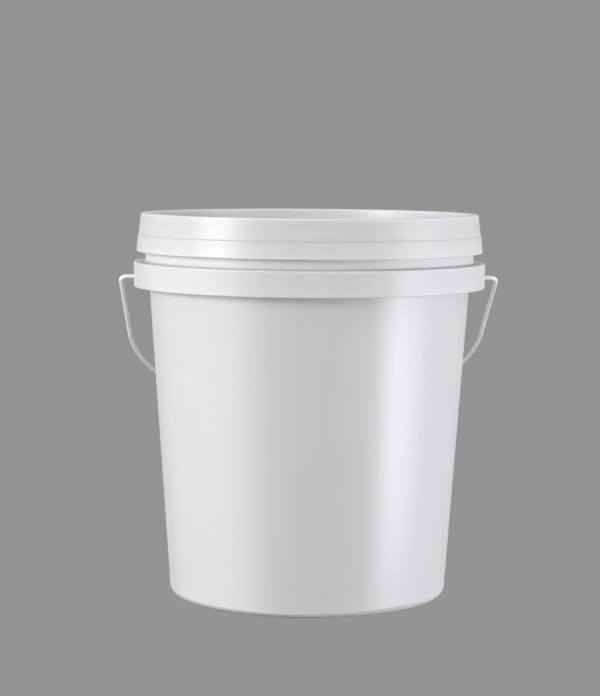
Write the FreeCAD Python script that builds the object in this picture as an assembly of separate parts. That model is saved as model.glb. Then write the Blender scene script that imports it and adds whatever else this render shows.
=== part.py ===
"""Press-lid plastic pail, nominally 18 litres, with a wire bail and a roller grip.

Origin: centre of the foot ring, on the surface that the pail stands on.
+Z is up. The two ears of the bail are on the X axis, and the bail hangs behind, towards +Y.
All sizes are in millimetres and all angles in degrees.
"""
import FreeCAD, Part
import math
import os

from FreeCAD import Vector

ORIGIN = Vector(0, 0, 0)
AXIS_X = Vector(1, 0, 0)
AXIS_Y = Vector(0, 1, 0)
AXIS_Z = Vector(0, 0, 1)

# Pail wall: a cone that widens upwards by the mould's draft.
draft = 4.0
wall = 2.0
collar_bottom_z = 272.7
wall_radius_at_collar = 141.0

# Foot and floor.
foot_fillet = 7.0
foot_inner_radius = 107.0
foot_slope_run = 3.6
foot_floor_thickness = 2.4
floor_under_z = 4.2
floor_thickness = 2.4
inner_fillet = 7.0

# Ribs under the floor. They stop above the foot, so the pail stands on its ring alone.
floor_rib = 1.6
floor_rib_bottom_z = 1.4
floor_rib_count = 12
floor_rib_reach = 106.2
floor_ring_rib_radius = 62.0
hub_radius = 24.0
gate_radius = 4.0

# Collar: the deep skirt under the lid that stiffens the mouth and carries the bail.
# It is an L-shaped ring that starts just outside the root of the neck.
collar_top_z = 294.5
collar_inner_radius = 146.3
collar_top_radius = 155.0
collar_bottom_radius = 154.6
collar_skirt = 2.3
collar_flange = 2.2

# Webs under the collar, which hang from a thin ring that is the lowest layer of its flange.
web_count = 24
web = 1.6
web_ring = 0.8
web_bottom_outer_z = 274.8
web_bottom_inner_z = 279.5
web_gap = 0.005

# Neck and rim, inside the lid.
neck_radius = 144.65
neck_wall = 2.05
rim_radius = 146.3
rim_top_z = 332.75
rim_depth = 4.05
shoulder_rise = 2.6

# Bail, a round wire bent in one plane and hung in the two ears.
bail_pivot_z = 280.7
wire_radius = 1.8
ear_clearance = 0.08
ear_boss_radius = 7.0
ear_boss_inner_x = 149.3
head_radius = 3.6
head_thickness = 2.0
head_gap = 0.3
bail_half_width = 166.9
bail_lean = 3.9
bail_elbow_radius = 6.0
bail_drop = 192.0
bail_bow_radius = 116.0

# Grip, a moulded roller that turns on the straight middle of the wire.
grip_length = 88.0
grip_radius = 11.0
grip_flange_radius = 12.0
grip_flange_width = 4.0
grip_shell = 1.8
grip_core_radius = 3.7
grip_web_count = 6
grip_web = 1.5
grip_web_inset = 1.0
grip_groove_depth = 0.7
grip_groove_width = 2.2
grip_groove_pitch = 8.0
grip_groove_count = 9
grip_rest_gap = 0.3

# Lid.
lid_top_z = 337.0
lid_top_radius = 148.5
lid_flare = 0.1120
lid_skirt = 1.7
lid_skirt_bottom_z = 318.2
lid_panel_top_z = 325.0
lid_panel = 1.8
recess_radius = 139.6
recess_top_radius = 140.4
plug_top_radius = 142.2
plug_bottom_radius = 141.4
plug_bottom_z = 320.0
channel_roof_z = 334.8
stacking_ring_inner = 124.5
stacking_ring_outer = 127.0
stacking_ring_height = 2.0
label_ring_radius = 62.0
label_ring_width = 1.6
label_ring_height = 0.7
centre_pad_radius = 14.0
centre_pad_height = 0.6
lid_rib_radius = 96.0
lid_rib_depth = 3.0
lug_count = 12
lug_span = 16.0
lug_inner_radius = 146.45
lug_top_z = 327.0
lug_bottom_z = 322.6
lug_lead_in = 0.6

# Tear strip: the lower band of the lid's skirt, joined to it by a thin scored membrane.
strip_top_z = 318.0
strip_bottom_z = 303.6
strip_top_radius = 151.1
strip_bottom_radius = 152.55
strip_thickness = 1.8
membrane_inner_radius = 149.9
membrane_outer_radius = 150.3
score_round = 0.15
strip_break = 1.6
tab_span = 7.0
tab_outer_radius = 154.4
tab_top_z = 315.6
tab_bottom_z = 305.2
tab_root_depth = 0.9
tab_ridge_count = 3
tab_ridge_radius = 0.7
tab_ridge_margin = 1.2
tab_ridge_stand = 0.1

# Gasket, a rubber ring in the roof of the lid's channel, just above the rim.
gasket_inner_radius = 143.0
gasket_outer_radius = 146.0
gasket_bottom_z = 332.8
gasket_corner = 0.6

# Corner radii that recur, and how far joined shapes run into each other before they are fused.
tiny_round = 0.3
small_round = 0.6
edge_round = 1.2
root_round = 1.5
overlap = 0.4

full_turn = 360.0
back = 90.0
slope = math.tan(math.radians(draft))
flange_under_z = collar_top_z - collar_flange
web_ring_top_z = flange_under_z + web_ring


def wall_outer(z):
    """Outer radius of the pail's wall at height z."""
    return wall_radius_at_collar + (z - collar_bottom_z) * slope


def wall_inner(z):
    """Inner radius of the pail's wall at height z."""
    return wall_outer(z) - wall / math.cos(math.radians(draft))


def collar_inner(z):
    """Inner radius of the collar's skirt at height z."""
    share = (z - collar_bottom_z) / (web_ring_top_z - collar_bottom_z)
    bottom = collar_bottom_radius - collar_skirt
    return bottom + share * (collar_top_radius - collar_bottom_radius)


def lid_outer(z):
    """Outer radius of the lid's skirt at height z."""
    return lid_top_radius + (lid_top_z - z) * lid_flare


def strip_outer(z):
    """Outer radius of the tear strip at height z."""
    share = (strip_top_z - z) / (strip_top_z - strip_bottom_z)
    return strip_top_radius + share * (strip_bottom_radius - strip_top_radius)


def rounded_wire(corners, closed, place):
    """Wire of straight runs and tangent arcs through (a, b, corner radius) points.

    place turns a pair (a, b) into a point in space.
    """
    points = [place(a, b) for a, b, _ in corners]
    count = len(points)
    starts, ends, arcs = [], [], []
    for i, (point, corner) in enumerate(zip(points, corners)):
        radius = corner[2]
        tip = not closed and i in (0, count - 1)
        if radius == 0 or tip:
            starts.append(point)
            ends.append(point)
            arcs.append(None)
            continue
        before = (points[i - 1] - point).normalize()
        after = (points[(i + 1) % count] - point).normalize()
        half = before.getAngle(after) / 2
        reach = radius / math.tan(half)
        inward = (before + after).normalize()
        middle = point + inward * (radius / math.sin(half) - radius)
        starts.append(point + before * reach)
        ends.append(point + after * reach)
        arcs.append(Part.Arc(starts[-1], middle, ends[-1]).toShape())
    edges = []
    for i in range(count):
        if arcs[i]:
            edges.append(arcs[i])
        if i == count - 1 and not closed:
            break
        following = starts[(i + 1) % count]
        if (following - ends[i]).Length > 1e-6:
            edges.append(Part.LineSegment(ends[i], following).toShape())
    return Part.Wire(edges)


def upright(radius, z):
    """Point above the X axis, where a turned outline is drawn."""
    return Vector(radius, 0, z)


def turned(corners, start=back, span=full_turn):
    """Solid of revolution about Z of a closed (radius, z, corner radius) outline."""
    face = Part.Face(rounded_wire(corners, True, upright))
    solid = face.revolve(ORIGIN, AXIS_Z, span)
    solid.rotate(ORIGIN, AXIS_Z, start)
    return solid


def block(inner, outer, width, low, high, angle):
    """Radial block from inner to outer radius, at an angle about Z."""
    shape = Part.makeBox(outer - inner, width, high - low, Vector(inner, -width / 2, low))
    shape.rotate(ORIGIN, AXIS_Z, angle)
    return shape


def pail_shell():
    """Foot, wall, the step that carries the collar, neck and rim as one turned outline."""
    floor_top = floor_under_z + floor_thickness
    step_in = foot_inner_radius - foot_slope_run
    neck_inner = neck_radius - neck_wall
    rim_under = rim_top_z - rim_depth
    rim_step = rim_radius - neck_radius
    return turned([
        (0, floor_under_z, 0),
        (step_in, floor_under_z, root_round),
        (foot_inner_radius, 0, small_round),
        (wall_outer(0), 0, foot_fillet),
        (wall_outer(flange_under_z), flange_under_z, 0),
        (collar_inner_radius, flange_under_z, 0),
        (collar_inner_radius, collar_top_z, 0),
        (neck_radius, collar_top_z, root_round),
        (neck_radius, rim_under - rim_step, small_round),
        (rim_radius, rim_under, small_round),
        (rim_radius, rim_top_z, edge_round),
        (neck_inner, rim_top_z, small_round),
        (neck_inner, flange_under_z + shoulder_rise, edge_round),
        (wall_inner(flange_under_z), flange_under_z, edge_round),
        (wall_inner(foot_floor_thickness), foot_floor_thickness, inner_fillet),
        (foot_inner_radius + floor_thickness, foot_floor_thickness, root_round),
        (step_in + floor_thickness, floor_top, root_round),
        (0, floor_top, 0),
    ])


def floor_ribs():
    """Radial ribs, a ring rib and a hub under the floor, with the dimple of the gate."""
    ribs = []
    top = floor_under_z + overlap
    inner = hub_radius - overlap
    for k in range(floor_rib_count):
        angle = (k + 0.5) * full_turn / floor_rib_count
        ribs.append(block(inner, floor_rib_reach, floor_rib, floor_rib_bottom_z, top, angle))
    ring_outer = floor_ring_rib_radius + floor_rib / 2
    ring_inner = floor_ring_rib_radius - floor_rib / 2
    height = top - floor_rib_bottom_z
    foot = Vector(0, 0, floor_rib_bottom_z)
    ring = Part.makeCylinder(ring_outer, height, foot)
    ribs.append(ring.cut(Part.makeCylinder(ring_inner, height, foot)))
    hub = Part.makeCylinder(hub_radius, height, foot)
    ribs.append(hub.cut(Part.makeCylinder(gate_radius, height - overlap, foot)))
    return ribs


def ear_boss(side):
    """Thickening behind the collar's skirt, round the hole that the bail turns in."""
    length = collar_bottom_radius - collar_skirt / 2 - ear_boss_inner_x
    start = Vector(side * ear_boss_inner_x, 0, bail_pivot_z)
    return Part.makeCylinder(ear_boss_radius, length, start, AXIS_X * side)


def ear_bore(side):
    """Hole for the bail through the boss and the skirt."""
    start = Vector(side * wall_outer(bail_pivot_z), 0, bail_pivot_z)
    length = collar_top_radius - wall_outer(bail_pivot_z) + overlap
    start.x += side * overlap
    return Part.makeCylinder(wire_radius + ear_clearance, length, start, AXIS_X * side)


def pail_body():
    return pail_shell().fuse(floor_ribs()).removeSplitter()


def pail_collar():
    """Flange and skirt as one turned outline, with an ear for the bail at each side."""
    ring = turned([
        (collar_inner_radius, web_ring_top_z, 0),
        (collar_inner(web_ring_top_z), web_ring_top_z, 0),
        (collar_inner(collar_bottom_z), collar_bottom_z, small_round),
        (collar_bottom_radius, collar_bottom_z, small_round),
        (collar_top_radius, collar_top_z, edge_round),
        (collar_inner_radius, collar_top_z, 0),
    ])
    ring = ring.fuse([ear_boss(-1), ear_boss(1)])
    return ring.cut([ear_bore(-1), ear_bore(1)]).removeSplitter()


def collar_webs():
    """Thin radial webs between the wall and the collar's skirt, with the ring they hang from."""
    ring = turned([
        (collar_inner_radius, flange_under_z, 0),
        (collar_inner(flange_under_z), flange_under_z, 0),
        (collar_inner(web_ring_top_z), web_ring_top_z, 0),
        (collar_inner_radius, web_ring_top_z, 0),
    ])
    root_z = flange_under_z + web_ring / 2
    outline = [
        (wall_outer(web_bottom_inner_z), web_bottom_inner_z, 0),
        (collar_inner(web_bottom_outer_z) - web_gap, web_bottom_outer_z, 0),
        (collar_inner(root_z) - web_gap, root_z, 0),
        (collar_inner_radius, root_z, 0),
        (collar_inner_radius, flange_under_z, 0),
        (wall_outer(flange_under_z), flange_under_z, 0),
    ]
    webs = []
    for k in range(web_count):
        face = Part.Face(rounded_wire(outline, True, upright))
        plate = face.extrude(AXIS_Y * web)
        plate.translate(AXIS_Y * (-web / 2))
        plate.rotate(ORIGIN, AXIS_Z, (k + 0.5) * full_turn / web_count)
        webs.append(plate)
    return ring.fuse(webs).removeSplitter()


def lid_shell():
    """Panel, recess wall, rim, skirt and plug wall as one turned outline."""
    roof_outer = lid_outer(channel_roof_z) - lid_skirt
    skirt_outer = lid_outer(lid_skirt_bottom_z)
    panel_under = lid_panel_top_z - lid_panel
    return turned([
        (0, lid_panel_top_z, 0),
        (recess_radius, lid_panel_top_z, root_round),
        (recess_top_radius, lid_top_z, edge_round),
        (lid_outer(lid_top_z), lid_top_z, root_round),
        (skirt_outer, lid_skirt_bottom_z, score_round),
        (skirt_outer - lid_skirt, lid_skirt_bottom_z, 0),
        (roof_outer, channel_roof_z, small_round),
        (plug_top_radius, channel_roof_z, small_round),
        (plug_bottom_radius, plug_bottom_z, small_round),
        (recess_radius, plug_bottom_z, small_round),
        (recess_radius, panel_under, small_round),
        (0, panel_under, 0),
    ])


def low_ring(inner, outer, height):
    """Low round-topped ring, or a disc if inner is 0, on top of the lid's panel."""
    low = lid_panel_top_z - overlap
    top = lid_panel_top_z + height
    inner_round = tiny_round if inner else 0
    return turned([
        (inner, low, 0),
        (outer, low, 0),
        (outer, top, tiny_round),
        (inner, top, inner_round),
    ])


def lid_panel_features():
    """Stacking ring, label ring and centre pad on the panel, and a stiffening ring under it."""
    panel_under = lid_panel_top_z - lid_panel
    rib_low = panel_under - lid_rib_depth
    rib = turned([
        (lid_rib_radius, rib_low, tiny_round),
        (lid_rib_radius + web, rib_low, tiny_round),
        (lid_rib_radius + web, panel_under + overlap, 0),
        (lid_rib_radius, panel_under + overlap, 0),
    ])
    return [
        low_ring(stacking_ring_inner, stacking_ring_outer, stacking_ring_height),
        low_ring(label_ring_radius, label_ring_radius + label_ring_width, label_ring_height),
        low_ring(0, centre_pad_radius, centre_pad_height),
        rib,
    ]


def snap_lugs():
    """Short lugs inside the skirt that sit under the pail's rim."""
    root = lid_skirt / 2
    middle_z = (lug_top_z + lug_bottom_z) / 2
    outline = [
        (lid_outer(lug_top_z) - root, lug_top_z, 0),
        (lug_inner_radius, lug_top_z - lug_lead_in, tiny_round),
        (lug_inner_radius, middle_z, tiny_round),
        (lid_outer(lug_bottom_z) - root, lug_bottom_z, 0),
    ]
    lugs = []
    for k in range(lug_count):
        start = back - lug_span / 2 + k * full_turn / lug_count
        lugs.append(turned(outline, start, lug_span))
    return lugs


def score_membrane():
    """Thin neck of plastic under the skirt, where the tear strip comes away."""
    root = lid_skirt_bottom_z + overlap
    return turned([
        (membrane_inner_radius, strip_top_z, 0),
        (membrane_outer_radius, strip_top_z, 0),
        (membrane_outer_radius, root, 0),
        (membrane_inner_radius, root, 0),
    ])


def lid():
    additions = lid_panel_features() + snap_lugs() + [score_membrane()]
    return lid_shell().fuse(additions).removeSplitter()


def tear_strip():
    """Band with a break at the back and a ridged pull tab at its free end."""
    start = back + strip_break / 2
    top_radius = strip_outer(strip_top_z)
    bottom_radius = strip_outer(strip_bottom_z)
    band = turned([
        (top_radius - strip_thickness, strip_top_z, 0),
        (top_radius, strip_top_z, score_round),
        (bottom_radius, strip_bottom_z, small_round),
        (bottom_radius - strip_thickness, strip_bottom_z, small_round),
    ], start, full_turn - strip_break)
    tab_root = strip_outer(tab_top_z) - tab_root_depth
    tab = turned([
        (tab_root, tab_top_z, 0),
        (tab_outer_radius, tab_top_z, edge_round),
        (tab_outer_radius, tab_bottom_z, edge_round),
        (tab_root, tab_bottom_z, 0),
    ], start, tab_span)
    ridges = []
    ridge_radius = tab_outer_radius - tab_ridge_radius + tab_ridge_stand
    height = tab_top_z - tab_bottom_z - 2 * tab_ridge_margin
    for k in range(tab_ridge_count):
        angle = math.radians(start + tab_span * (k + 1) / (tab_ridge_count + 1))
        foot = Vector(ridge_radius * math.cos(angle), ridge_radius * math.sin(angle), 0)
        foot.z = tab_bottom_z + tab_ridge_margin
        ridges.append(Part.makeCylinder(tab_ridge_radius, height, foot))
    return band.fuse([tab] + ridges).removeSplitter()


def lid_gasket():
    top = channel_roof_z
    return turned([
        (gasket_inner_radius, gasket_bottom_z, gasket_corner),
        (gasket_outer_radius, gasket_bottom_z, gasket_corner),
        (gasket_outer_radius, top, gasket_corner),
        (gasket_inner_radius, top, gasket_corner),
    ])


def rest_tilt():
    """Angle of the bail from straight down, where its grip comes to rest by the wall."""
    lean = math.radians(draft)
    pivot_to_wall = (
        wall_radius_at_collar * math.cos(lean)
        + (bail_pivot_z - collar_bottom_z) * math.sin(lean)
    )
    reach = pivot_to_wall + grip_radius + grip_rest_gap
    return math.degrees(math.asin(reach / bail_drop) - lean)


def in_bail_plane(across, drop):
    """Point in the bail's plane: across along X, and drop from the pivot axis, hanging back."""
    tilt = math.radians(rest_tilt())
    return Vector(across, drop * math.sin(tilt), bail_pivot_z - drop * math.cos(tilt))


def bail_wire():
    """Wire with an elbow by each ear, a wide bow at the bottom and an upset head at each end."""
    tip = ear_boss_inner_x - head_gap
    low_corner = bail_half_width - bail_drop * math.tan(math.radians(bail_lean))
    half = [
        (tip, 0, 0),
        (bail_half_width, 0, bail_elbow_radius),
        (low_corner, bail_drop, bail_bow_radius),
    ]
    corners = half + [(-across, drop, radius) for across, drop, radius in reversed(half)]
    path = rounded_wire(corners, False, in_bail_plane)
    section = Part.Wire(Part.makeCircle(wire_radius, in_bail_plane(tip, 0), AXIS_X))
    wire = path.makePipeShell([section], True, True)
    expected = math.pi * wire_radius ** 2 * path.Length
    print("bail wire: length %.1f mm" % path.Length)
    print("bail wire: volume over section times length %.4f" % (wire.Volume / expected))
    heads = []
    for side in (-1, 1):
        start = in_bail_plane(side * tip, 0)
        heads.append(Part.makeCylinder(head_radius, head_thickness, start, AXIS_X * -side))
    return wire.fuse(heads).removeSplitter()


def along_grip(radius, across):
    """Point above the grip's axis, where the grip's outline is drawn."""
    return in_bail_plane(across, bail_drop) + AXIS_Z * radius


def grip_shell_outline():
    """Outline of the grip's outer tube, with a flange at each end and shallow grooves between."""
    half = grip_length / 2
    inner = grip_radius - grip_shell
    shoulder = half - grip_flange_width
    outer = [
        (grip_flange_radius, -half, small_round),
        (grip_flange_radius, -shoulder, small_round),
        (grip_radius, -shoulder, tiny_round),
    ]
    for k in range(grip_groove_count):
        middle = (k - (grip_groove_count - 1) / 2) * grip_groove_pitch
        side = grip_groove_width / 2
        bottom = grip_radius - grip_groove_depth
        outer += [
            (grip_radius, middle - side, tiny_round),
            (bottom, middle - side / 2, tiny_round),
            (bottom, middle + side / 2, tiny_round),
            (grip_radius, middle + side, tiny_round),
        ]
    outer += [
        (grip_radius, shoulder, tiny_round),
        (grip_flange_radius, shoulder, small_round),
        (grip_flange_radius, half, small_round),
    ]
    return [(inner, -half, tiny_round)] + outer + [(inner, half, tiny_round)]


def bail_grip():
    """Hollow roller: an outer tube and a core tube on the wire, joined by radial webs."""
    centre = in_bail_plane(0, bail_drop)
    outline = rounded_wire(grip_shell_outline(), True, along_grip)
    tube = Part.Face(outline).revolve(centre, AXIS_X, full_turn)
    end = in_bail_plane(-grip_length / 2, bail_drop)
    core = Part.makeCylinder(grip_core_radius, grip_length, end, AXIS_X)
    reach = grip_radius - grip_shell / 2
    webs = []
    for k in range(grip_web_count):
        corner = Vector(end.x + grip_web_inset, end.y - grip_web / 2, end.z)
        plate = Part.makeBox(grip_length - 2 * grip_web_inset, grip_web, reach, corner)
        plate.rotate(centre, AXIS_X, k * full_turn / grip_web_count)
        webs.append(plate)
    bore_radius = wire_radius + ear_clearance
    bore = Part.makeCylinder(bore_radius, 2 * grip_length, end - AXIS_X * (grip_length / 2), AXIS_X)
    return tube.fuse([core] + webs).cut(bore).removeSplitter()


def save(name, shape):
    """Writes one node's STEP file and prints its size."""
    solids = shape.Solids
    box = shape.BoundBox
    print("%-12s solids %d, valid %s" % (name, len(solids), shape.isValid()))
    print("%-12s volume %.1f cm3, z %.2f to %.2f" % ("", shape.Volume / 1000, box.ZMin, box.ZMax))
    kept = solids[0] if len(solids) == 1 else shape
    kept.exportStep("parts/%s.step" % name)


os.makedirs("parts", exist_ok=True)
tilt = rest_tilt()
grip_axis = in_bail_plane(0, bail_drop)
print("bail hangs %.3f degrees back from straight down" % tilt)
print("bail swings %.3f degrees" % (full_turn - 2 * tilt))
print("grip axis at y %.3f, z %.3f" % (grip_axis.y, grip_axis.z))

save("pail_body", pail_body())
save("pail_collar", pail_collar())
save("collar_webs", collar_webs())
save("lid", lid())
save("tear_strip", tear_strip())
save("lid_gasket", lid_gasket())
save("bail_wire", bail_wire())
save("bail_grip", bail_grip())
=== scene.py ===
"""Studio scene of a lidded white plastic pail with a wire bail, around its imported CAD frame.

Every CAD node keeps its own shape and gets a procedural material. All lengths are in metres.
The front is -Y. Azimuths are measured round the pail from the front towards +X, in degrees.
"""
import math

import bmesh
import bpy
from mathutils import Euler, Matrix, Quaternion, Vector

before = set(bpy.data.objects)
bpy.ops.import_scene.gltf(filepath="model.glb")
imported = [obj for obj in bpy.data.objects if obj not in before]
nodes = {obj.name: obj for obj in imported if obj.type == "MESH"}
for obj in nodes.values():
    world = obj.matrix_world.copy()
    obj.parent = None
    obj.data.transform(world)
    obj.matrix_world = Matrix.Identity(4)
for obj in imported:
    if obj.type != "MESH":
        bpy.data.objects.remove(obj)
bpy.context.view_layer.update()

# Camera: metres from the middle of the pail's base, and degrees. PAIL_TURN is how far the camera goes
# round the pail from its front.
LENS_MM = 108.15
SENSOR_MM = 36.0
CAMERA_DISTANCE = 1.8486
CAMERA_HEIGHT = 0.3916
CAMERA_ASIDE = -0.0078
CAMERA_TILT = 5.38
CAMERA_ROLL = 0.40
PAIL_TURN = -2.3

# Floor and backdrop.
FLOOR_RADIUS = 14.0
FLOOR_SIDES = 96
DOME_RADIUS = 13.9
DOME_SIDES = 64
DOME_RINGS = 32
BACKDROP_GREY = (0.296, 0.288, 0.292)
WORLD_LIGHT = 0.445
FLOOR_ALBEDO = 0.3

# The floor's glow makes up for what its paint doesn't return, so that the floor matches the dome.
FLOOR_LIT = 1.0 - FLOOR_ALBEDO * WORLD_LIGHT

# Softboxes and reflector cards. The softboxes face SOFTBOX_AIM, a height on the pail's axis.
WHITE = (1.0, 1.0, 1.0)
LEFT_TINT = (1.0, 1.0, 0.98)
RIGHT_TINT = (0.965, 0.97, 1.0)
SOFTBOX_AIM = 0.17
SHEET_HEIGHT = -0.001
SHEET_LIGHT = 0.12
CARD_DISTANCE = 1.6
CARD_FADE = 0.3
CARD_STEPS = 24

# How finely each texture repeats, per metre.
CLOUD_SCALE = 16.0
WAVE_SCALE = 11.0
PEEL_SCALE = 420.0
SCUFF_PATCH_SCALE = 14.0
RUBBER_TONE_SCALE = 40.0
RUBBER_GRAIN_SCALE = 900.0
ZINC_BLOOM_SCALE = 120.0
ZINC_SPECK_SCALE = 900.0
DRAW_LINE_SCALE = 700.0
GRIP_HAND_SCALE = 45.0
GRIP_GRAIN_SCALE = 1500.0
TABLE_GRAIN_SCALE = 60.0

# Textures that run one way: how much finer they repeat along X, Y and Z.
SCUFF_STRETCH = (900.0, 900.0, 60.0)
WAVE_STRETCH = (1.0, 1.0, 0.6)
DRAW_LINE_STRETCH = (0.25, 1.0, 1.0)

# Relief of the plastic in metres: slow waves, fine orange peel and the mould's polishing streaks.
WAVE_DEPTH = 0.0004
PEEL_DEPTH = 0.000006
POLISH_DEPTH = 0.0000004

# Relief of the other materials in metres.
RUBBER_GRAIN_DEPTH = 0.00003
ZINC_SPECK_DEPTH = 0.000012
DRAW_LINE_DEPTH = 0.00002
GRIP_GRAIN_DEPTH = 0.00002
TABLE_GRAIN_DEPTH = 0.00005

# Streaks: how often they repeat per radian round the pail and per metre up it. They run up the pail
# and round the lid, as each mould was turned and polished.
BODY_STREAKS = (30.0, 2.5)
LID_STREAKS = (4.0, 420.0)

# Linear colours: the two shades that each material varies between.
PAIL_TONES = ((0.837, 0.822, 0.842), (0.817, 0.802, 0.823))
# Painted shade: the collar is the same plastic as the pail, given darker tones in place of shading that
# the lights don't give it.
COLLAR_PAINTED_SHADE_TONES = ((0.790, 0.775, 0.795), (0.770, 0.756, 0.776))
LID_TONES = ((0.83, 0.815, 0.83), (0.822, 0.807, 0.822))
RUBBER_TONES = ((0.50, 0.49, 0.46), (0.58, 0.57, 0.54))
ZINC_TONES = ((0.90, 0.90, 0.93), (0.84, 0.84, 0.87))
GRIP_TONES = ((0.80, 0.80, 0.79), (0.74, 0.735, 0.72))

# Roughness at the smoothest and the dullest places, and how much the scuffs add to it.
PAIL_ROUGH = (0.28, 0.31)
LID_ROUGH = (0.277, 0.295)
RUBBER_ROUGH = (0.62, 0.82)
ZINC_ROUGH = (0.46, 0.60)
GRIP_ROUGH = (0.42, 0.58)
SCUFF_ROUGH = 0.10

# How light enters the materials.
POLYOLEFIN_IOR = 1.49
RUBBER_IOR = 1.5
ZINC_IOR = 1.5
ZINC_METAL = 0.15
PLASTIC_SCATTER = 0.6
PLASTIC_SCATTER_DEPTH = 0.008
PLASTIC_SCATTER_COLOR = (1.0, 0.95, 0.9)
GRIP_SCATTER = 0.1
GRIP_SCATTER_DEPTH = 0.003


def polar(azimuth, distance, height):
    """Point at an azimuth from the front, a distance from the pail's axis and a height."""
    angle = math.radians(azimuth)
    return Vector((distance * math.sin(angle), -distance * math.cos(angle), height))


# ---------------------------------------------------------------- node helpers


class Tree:
    """A material's node tree with short calls for the nodes used here."""

    def __init__(self, name):
        self.material = bpy.data.materials.new(name)
        self.material.use_nodes = True
        self.tree = self.material.node_tree
        self.tree.nodes.clear()
        self.output = self.add("ShaderNodeOutputMaterial")
        self.place = self.add("ShaderNodeTexCoord").outputs["Object"]

    def add(self, kind, **settings):
        node = self.tree.nodes.new(kind)
        for key, value in settings.items():
            setattr(node, key, value)
        return node

    def put(self, socket, value):
        """Sets a socket to a value, or links another socket to it."""
        if isinstance(value, bpy.types.NodeSocket):
            self.tree.links.new(value, socket)
        else:
            socket.default_value = value

    def math(self, operation, a, b=0.0):
        node = self.add("ShaderNodeMath", operation=operation)
        self.put(node.inputs[0], a)
        self.put(node.inputs[1], b)
        return node.outputs[0]

    def stretched(self, x, y, z):
        """Object coordinates multiplied along each axis."""
        node = self.add("ShaderNodeMapping")
        self.put(node.inputs["Vector"], self.place)
        node.inputs["Scale"].default_value = (x, y, z)
        return node.outputs["Vector"]

    def noise(self, scale, detail=2.0, rough=0.5, where=None):
        node = self.add("ShaderNodeTexNoise")
        self.put(node.inputs["Vector"], where or self.place)
        node.inputs["Scale"].default_value = scale
        node.inputs["Detail"].default_value = detail
        node.inputs["Roughness"].default_value = rough
        return node.outputs["Fac"]

    def ranged(self, value, low, high, to_low=0.0, to_high=1.0, curve="LINEAR"):
        """The value from low to high, mapped to to_low to to_high and held there past both ends."""
        node = self.add("ShaderNodeMapRange", interpolation_type=curve)
        self.put(node.inputs["Value"], value)
        node.inputs["From Min"].default_value = low
        node.inputs["From Max"].default_value = high
        node.inputs["To Min"].default_value = to_low
        node.inputs["To Max"].default_value = to_high
        return node.outputs["Result"]

    def blend(self, factor, a, b):
        node = self.add("ShaderNodeMix", data_type="RGBA")
        self.put(node.inputs["Factor"], factor)
        self.put(node.inputs["A"], (*a, 1.0) if isinstance(a, tuple) else a)
        self.put(node.inputs["B"], (*b, 1.0) if isinstance(b, tuple) else b)
        return node.outputs["Result"]

    def cylinder_place(self, around, up):
        """Coordinates (angle round Z, height), for marks that run up or round the pail."""
        split = self.add("ShaderNodeSeparateXYZ")
        self.put(split.inputs[0], self.place)
        angle = self.math("ARCTAN2", split.outputs["X"], split.outputs["Y"])
        join = self.add("ShaderNodeCombineXYZ")
        self.put(join.inputs["X"], self.math("MULTIPLY", angle, around))
        self.put(join.inputs["Y"], self.math("MULTIPLY", split.outputs["Z"], up))
        return join.outputs[0]

    def scuffs(self, amount):
        """Thin short rub marks in a few patches, from 0 to the amount."""
        fine = self.noise(1.0, detail=3.0, rough=0.7, where=self.stretched(*SCUFF_STRETCH))
        patch = self.noise(SCUFF_PATCH_SCALE)
        marks = self.math("MULTIPLY", self.ranged(fine, 0.62, 0.75), self.ranged(patch, 0.52, 0.68))
        return self.math("MULTIPLY", marks, amount)

    def bump(self, height, depth, normal=None):
        """Bump of a height field, with depth in metres between its 0 and 1."""
        node = self.add("ShaderNodeBump")
        node.inputs["Distance"].default_value = depth
        self.put(node.inputs["Height"], height)
        if normal is not None:
            self.put(node.inputs["Normal"], normal)
        return node.outputs["Normal"]

    def principled(self, color, roughness, normal, **constants):
        shader = self.add("ShaderNodeBsdfPrincipled")
        self.put(shader.inputs["Base Color"], color)
        self.put(shader.inputs["Roughness"], roughness)
        self.put(shader.inputs["Normal"], normal)
        for name, value in constants.items():
            shader.inputs[name.replace("_", " ")].default_value = value
        self.tree.links.new(shader.outputs[0], self.output.inputs["Surface"])
        return self.material


# ---------------------------------------------------------------- materials


def white_plastic(name, tones, rough, streaks):
    """White moulded polyolefin: mould polishing streaks, orange peel, slow waviness and faint scuffs."""
    t = Tree(name)
    polish = t.noise(1.0, detail=3.0, rough=0.55, where=t.cylinder_place(*streaks))
    cloud = t.noise(CLOUD_SCALE, detail=3.0)
    tone_mix = t.math("ADD", t.math("MULTIPLY", cloud, 0.5), t.math("MULTIPLY", polish, 0.5))
    color = t.blend(t.ranged(tone_mix, 0.35, 0.65), *tones)
    roughness = t.math("ADD", t.ranged(polish, 0.3, 0.7, *rough), t.scuffs(SCUFF_ROUGH))
    waves = t.bump(t.noise(WAVE_SCALE, detail=1.0, where=t.stretched(*WAVE_STRETCH)), WAVE_DEPTH)
    peel = t.bump(t.noise(PEEL_SCALE), PEEL_DEPTH, t.bump(polish, POLISH_DEPTH, waves))
    return t.principled(color, roughness, peel, IOR=POLYOLEFIN_IOR, Subsurface_Weight=PLASTIC_SCATTER,
                        Subsurface_Scale=PLASTIC_SCATTER_DEPTH,
                        Subsurface_Radius=PLASTIC_SCATTER_COLOR)


def gasket_rubber():
    """Dull pale rubber."""
    t = Tree("gasket_rubber")
    grain = t.noise(RUBBER_GRAIN_SCALE, detail=3.0)
    color = t.blend(t.noise(RUBBER_TONE_SCALE, detail=3.0), *RUBBER_TONES)
    roughness = t.ranged(grain, 0.3, 0.7, *RUBBER_ROUGH)
    return t.principled(color, roughness, t.bump(grain, RUBBER_GRAIN_DEPTH), IOR=RUBBER_IOR)


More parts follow.
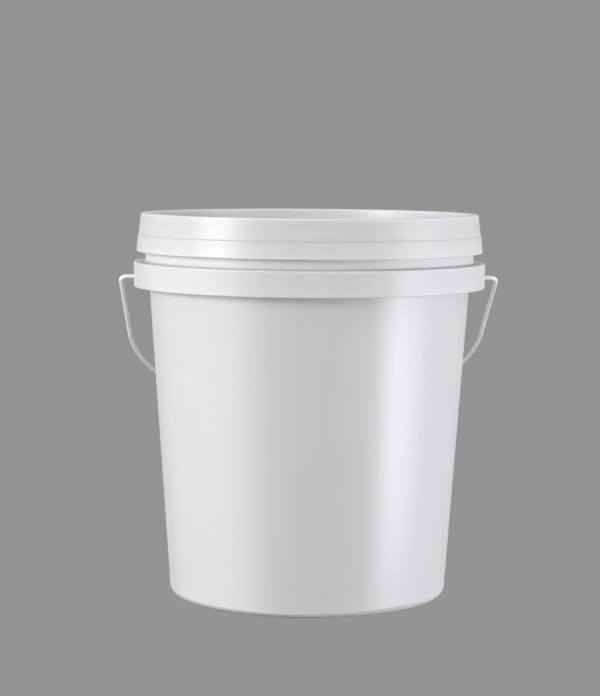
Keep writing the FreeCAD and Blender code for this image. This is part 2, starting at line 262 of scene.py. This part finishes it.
def wire_zinc():
    """Drawn steel wire with a dull zinc coat."""
    t = Tree("wire_zinc")
    bloom = t.noise(ZINC_BLOOM_SCALE, detail=4.0, rough=0.6)
    specks = t.noise(ZINC_SPECK_SCALE, detail=3.0)
    color = t.blend(t.ranged(bloom, 0.35, 0.7), *ZINC_TONES)
    dullness = t.math("ADD", bloom, t.math("MULTIPLY", specks, 0.5))
    roughness = t.ranged(dullness, 0.5, 1.0, *ZINC_ROUGH)
    lines = t.noise(DRAW_LINE_SCALE, where=t.stretched(*DRAW_LINE_STRETCH))
    normal = t.bump(specks, ZINC_SPECK_DEPTH, t.bump(lines, DRAW_LINE_DEPTH))
    return t.principled(color, roughness, normal, Metallic=ZINC_METAL, IOR=ZINC_IOR)


def grip_plastic():
    """Hand-worn moulded plastic with a fine eroded grain."""
    t = Tree("grip_plastic")
    hand = t.noise(GRIP_HAND_SCALE, detail=4.0)
    grain = t.noise(GRIP_GRAIN_SCALE)
    color = t.blend(t.ranged(hand, 0.4, 0.7), *GRIP_TONES)
    roughness = t.ranged(hand, 0.3, 0.7, *GRIP_ROUGH)
    return t.principled(color, roughness, t.bump(grain, GRIP_GRAIN_DEPTH), IOR=POLYOLEFIN_IOR,
                        Subsurface_Weight=GRIP_SCATTER, Subsurface_Scale=GRIP_SCATTER_DEPTH)


def lit_table(name, color, albedo, lit):
    """Pale table top that is lit from within, so that the pail's shadow on it is faint."""
    t = Tree(name)
    grain = t.noise(TABLE_GRAIN_SCALE, detail=3.0)
    paint = t.add("ShaderNodeBsdfDiffuse")
    t.put(paint.inputs["Color"], (*(c * albedo for c in color), 1.0))
    t.put(paint.inputs["Normal"], t.bump(grain, TABLE_GRAIN_DEPTH))
    light = t.add("ShaderNodeEmission")
    t.put(light.inputs["Color"], (*color, 1.0))
    t.put(light.inputs["Strength"], lit)
    both = t.add("ShaderNodeAddShader")
    t.put(both.inputs[0], paint.outputs[0])
    t.put(both.inputs[1], light.outputs[0])
    t.put(t.output.inputs["Surface"], both.outputs[0])
    t.material.cycles.emission_sampling = "NONE"
    return t.material


def glow(name, color, strength):
    """Plain emission for the backdrop and the bounce sheet."""
    t = Tree(name)
    shader = t.add("ShaderNodeEmission")
    t.put(shader.inputs["Color"], (*color, 1.0))
    t.put(shader.inputs["Strength"], strength)
    t.put(t.output.inputs["Surface"], shader.outputs[0])
    t.material.cycles.emission_sampling = "NONE"
    return t.material


def card_glow(name, middle, half_width, low, high, fade, strength, color):
    """Clear reflector card with a glow that fades out towards all four of its edges."""
    t = Tree(name)
    place = t.add("ShaderNodeSeparateXYZ")
    t.put(place.inputs[0], t.place)
    ahead = t.math("MULTIPLY", place.outputs["Y"], -1.0)
    azimuth = t.math("ARCTAN2", place.outputs["X"], ahead)
    aside = t.math("ABSOLUTE", t.math("SUBTRACT", azimuth, math.radians(middle)))
    across = t.ranged(aside, 0.0, math.radians(half_width), 1.0, 0.0, "SMOOTHSTEP")
    rise = t.ranged(place.outputs["Z"], low, low + fade, curve="SMOOTHSTEP")
    fall = t.ranged(place.outputs["Z"], high - fade, high, 1.0, 0.0, "SMOOTHSTEP")
    shape = t.math("MULTIPLY", across, t.math("MULTIPLY", rise, fall))
    shader = t.add("ShaderNodeEmission")
    t.put(shader.inputs["Color"], (*color, 1.0))
    t.put(shader.inputs["Strength"], t.math("MULTIPLY", shape, strength))
    over = t.add("ShaderNodeAddShader")
    t.put(over.inputs[0], shader.outputs[0])
    t.put(over.inputs[1], t.add("ShaderNodeBsdfTransparent").outputs[0])
    t.put(t.output.inputs["Surface"], over.outputs[0])
    t.material.cycles.emission_sampling = "NONE"
    return t.material


def wear(node, material):
    """Puts one material on every face of a CAD node."""
    mesh = nodes[node].data
    mesh.materials.clear()
    mesh.materials.append(material)


def dress_nodes():
    body = white_plastic("pail_plastic", PAIL_TONES, PAIL_ROUGH, BODY_STREAKS)
    # The collar and its webs wear a darker copy of the pail plastic: painted shade, not a different
    # plastic.
    collar = white_plastic("collar_plastic_painted_shade", COLLAR_PAINTED_SHADE_TONES, PAIL_ROUGH, BODY_STREAKS)
    cover = white_plastic("lid_plastic", LID_TONES, LID_ROUGH, LID_STREAKS)
    wear("pail_body", body)
    wear("pail_collar", collar)
    wear("collar_webs", collar)
    wear("lid", cover)
    wear("tear_strip", cover)
    wear("lid_gasket", gasket_rubber())
    wear("bail_wire", wire_zinc())
    wear("bail_grip", grip_plastic())


# ---------------------------------------------------------------- stage


def new_object(name, mesh):
    obj = bpy.data.objects.new(name, mesh)
    bpy.context.scene.collection.objects.link(obj)
    return obj


def seen_by(obj, camera=False, diffuse=False, glossy=False, shadow=False, transmission=False):
    """Hides an object from every kind of ray but those named."""
    obj.visible_camera = camera
    obj.visible_diffuse = diffuse
    obj.visible_glossy = glossy
    obj.visible_shadow = shadow
    obj.visible_transmission = transmission
    obj.visible_volume_scatter = False


def disc_mesh(name):
    """Flat disc as wide as the floor."""
    mesh = bpy.data.meshes.new(name)
    shape = bmesh.new()
    bmesh.ops.create_circle(shape, cap_ends=True, segments=FLOOR_SIDES, radius=FLOOR_RADIUS)
    shape.to_mesh(mesh)
    shape.free()
    return mesh


def make_floor():
    """A wide pale disc, which the pail doesn't mirror."""
    floor = new_object("floor", disc_mesh("floor"))
    floor.data.materials.append(lit_table("table_top", BACKDROP_GREY, FLOOR_ALBEDO, FLOOR_LIT))
    seen_by(floor, camera=True, shadow=True, transmission=True)


def make_bounce_sheet():
    """White paper just below the floor, which only throws light up at the pail and isn't seen itself."""
    sheet = new_object("bounce_sheet", disc_mesh("bounce_sheet"))
    sheet.location.z = SHEET_HEIGHT
    sheet.data.materials.append(glow("bounce_light", WHITE, SHEET_LIGHT))
    seen_by(sheet, diffuse=True)


def make_backdrop():
    """A dome in the floor's own tone, so that no horizon shows."""
    mesh = bpy.data.meshes.new("backdrop")
    shape = bmesh.new()
    bmesh.ops.create_uvsphere(shape, u_segments=DOME_SIDES, v_segments=DOME_RINGS, radius=DOME_RADIUS)
    shape.to_mesh(mesh)
    shape.free()
    dome = new_object("backdrop", mesh)
    dome.data.materials.append(glow("backdrop_tone", BACKDROP_GREY, 1.0))
    seen_by(dome, camera=True, transmission=True)


def make_card(name, middle, half_width, low, high, strength, color, fade=CARD_FADE):
    """Upright card bent round the pail. Only mirror reflections see it, and its edges are soft."""
    shape = bmesh.new()
    rows = []
    for k in range(CARD_STEPS + 1):
        azimuth = middle + half_width * (2.0 * k / CARD_STEPS - 1.0)
        rows.append([shape.verts.new(polar(azimuth, CARD_DISTANCE, height)) for height in (low, high)])
    for before, after in zip(rows, rows[1:]):
        shape.faces.new((before[0], after[0], after[1], before[1]))
    mesh = bpy.data.meshes.new(name)
    shape.to_mesh(mesh)
    shape.free()
    card = new_object(name, mesh)
    card.data.materials.append(
        card_glow(name + "_light", middle, half_width, low, high, fade, strength, color))
    seen_by(card, glossy=True)


def make_cards():
    """Reflections: broad and strong on the left, narrow and bright with a dim surround on the right.

    Each call gives the name, middle azimuth, half width, lowest and highest point, strength and colour.
    """
    make_card("card_left_low", -77.0, 70.0, -1.3, 0.5, 2.8, LEFT_TINT)
    make_card("card_left_low_core", -62.0, 34.0, -1.1, 0.35, 2.0, LEFT_TINT)
    make_card("card_left_deep", -50.0, 85.0, -2.5, -0.9, 4.0, LEFT_TINT)
    make_card("card_left_high", -70.0, 60.0, 0.2, 1.5, 1.6, LEFT_TINT)
    make_card("card_left_high_core", -63.0, 24.0, 0.2, 1.5, 8.6, LEFT_TINT)
    make_card("card_right_low", 76.0, 72.0, -1.1, 0.5, 1.0, RIGHT_TINT)
    make_card("card_right_core", 61.0, 17.0, -0.54, 0.20, 10.4, RIGHT_TINT, 0.2)
    make_card("card_right_flank", 78.0, 15.0, -0.54, 0.20, 4.8, RIGHT_TINT, 0.2)
    make_card("card_right_high", 71.0, 38.0, 0.2, 1.5, 3.9, RIGHT_TINT)


def make_softbox(name, azimuth, distance, height, width, tall, power, color, receivers):
    """Area lamp aimed at the middle of the pail, which lights the pail alone and shows in no mirror."""
    light = bpy.data.lights.new(name, "AREA")
    light.shape = "RECTANGLE"
    light.size = width
    light.size_y = tall
    light.energy = power
    light.color = color
    lamp = bpy.data.objects.new(name, light)
    bpy.context.scene.collection.objects.link(lamp)
    lamp.location = polar(azimuth, distance, height)
    toward = Vector((0.0, 0.0, SOFTBOX_AIM)) - lamp.location
    lamp.rotation_euler = toward.to_track_quat("-Z", "Y").to_euler()
    lamp.visible_glossy = False
    lamp.visible_camera = False
    lamp.light_linking.receiver_collection = receivers


def make_softboxes():
    """Each call gives the name, azimuth, distance, height, width, tallness, watts and colour."""
    receivers = bpy.data.collections.new("lit_pieces")
    for node in nodes.values():
        receivers.objects.link(node)
    make_softbox("softbox_left", -58.0, 1.6, 0.17, 1.4, 0.32, 2.6, LEFT_TINT, receivers)
    make_softbox("softbox_left_rear", -105.0, 1.6, 0.17, 0.8, 0.32, 5.2, LEFT_TINT, receivers)
    make_softbox("softbox_left_high", -55.0, 1.6, 0.7, 0.9, 0.4, 12.0, LEFT_TINT, receivers)
    make_softbox("softbox_right_front", 35.0, 1.6, 0.17, 0.8, 0.32, 4.2, RIGHT_TINT, receivers)
    make_softbox("softbox_right", 66.0, 1.6, 0.17, 1.3, 0.32, 8.8, RIGHT_TINT, receivers)
    make_softbox("softbox_right_rear", 100.0, 1.6, 0.17, 0.8, 0.32, 5.2, RIGHT_TINT, receivers)
    make_softbox("softbox_top", 0.0, 0.01, 2.0, 1.2, 1.2, 8.8, WHITE, receivers)


def make_world():
    world = bpy.data.worlds.new("studio")
    world.use_nodes = True
    background = world.node_tree.nodes["Background"]
    background.inputs["Color"].default_value = (*WHITE, 1.0)
    background.inputs["Strength"].default_value = WORLD_LIGHT
    bpy.context.scene.world = world


def make_camera():
    turn = math.radians(PAIL_TURN)
    data = bpy.data.cameras.new("camera")
    data.sensor_width = SENSOR_MM
    data.lens = LENS_MM
    camera = bpy.data.objects.new("camera", data)
    bpy.context.scene.collection.objects.link(camera)
    along = Vector((math.cos(turn), math.sin(turn), 0.0))
    ahead = Vector((-math.sin(turn), math.cos(turn), 0.0))
    camera.location = along * CAMERA_ASIDE - ahead * CAMERA_DISTANCE
    camera.location.z = CAMERA_HEIGHT
    upright = Euler((math.radians(90.0 - CAMERA_TILT), 0.0, turn)).to_quaternion()
    camera.rotation_euler = (upright @ Quaternion((0.0, 0.0, 1.0), math.radians(CAMERA_ROLL))).to_euler()
    bpy.context.scene.camera = camera


make_camera()
dress_nodes()
make_floor()
make_backdrop()
make_bounce_sheet()
make_cards()
make_softboxes()
make_world()
bpy.context.scene.view_settings.view_transform = "Standard"
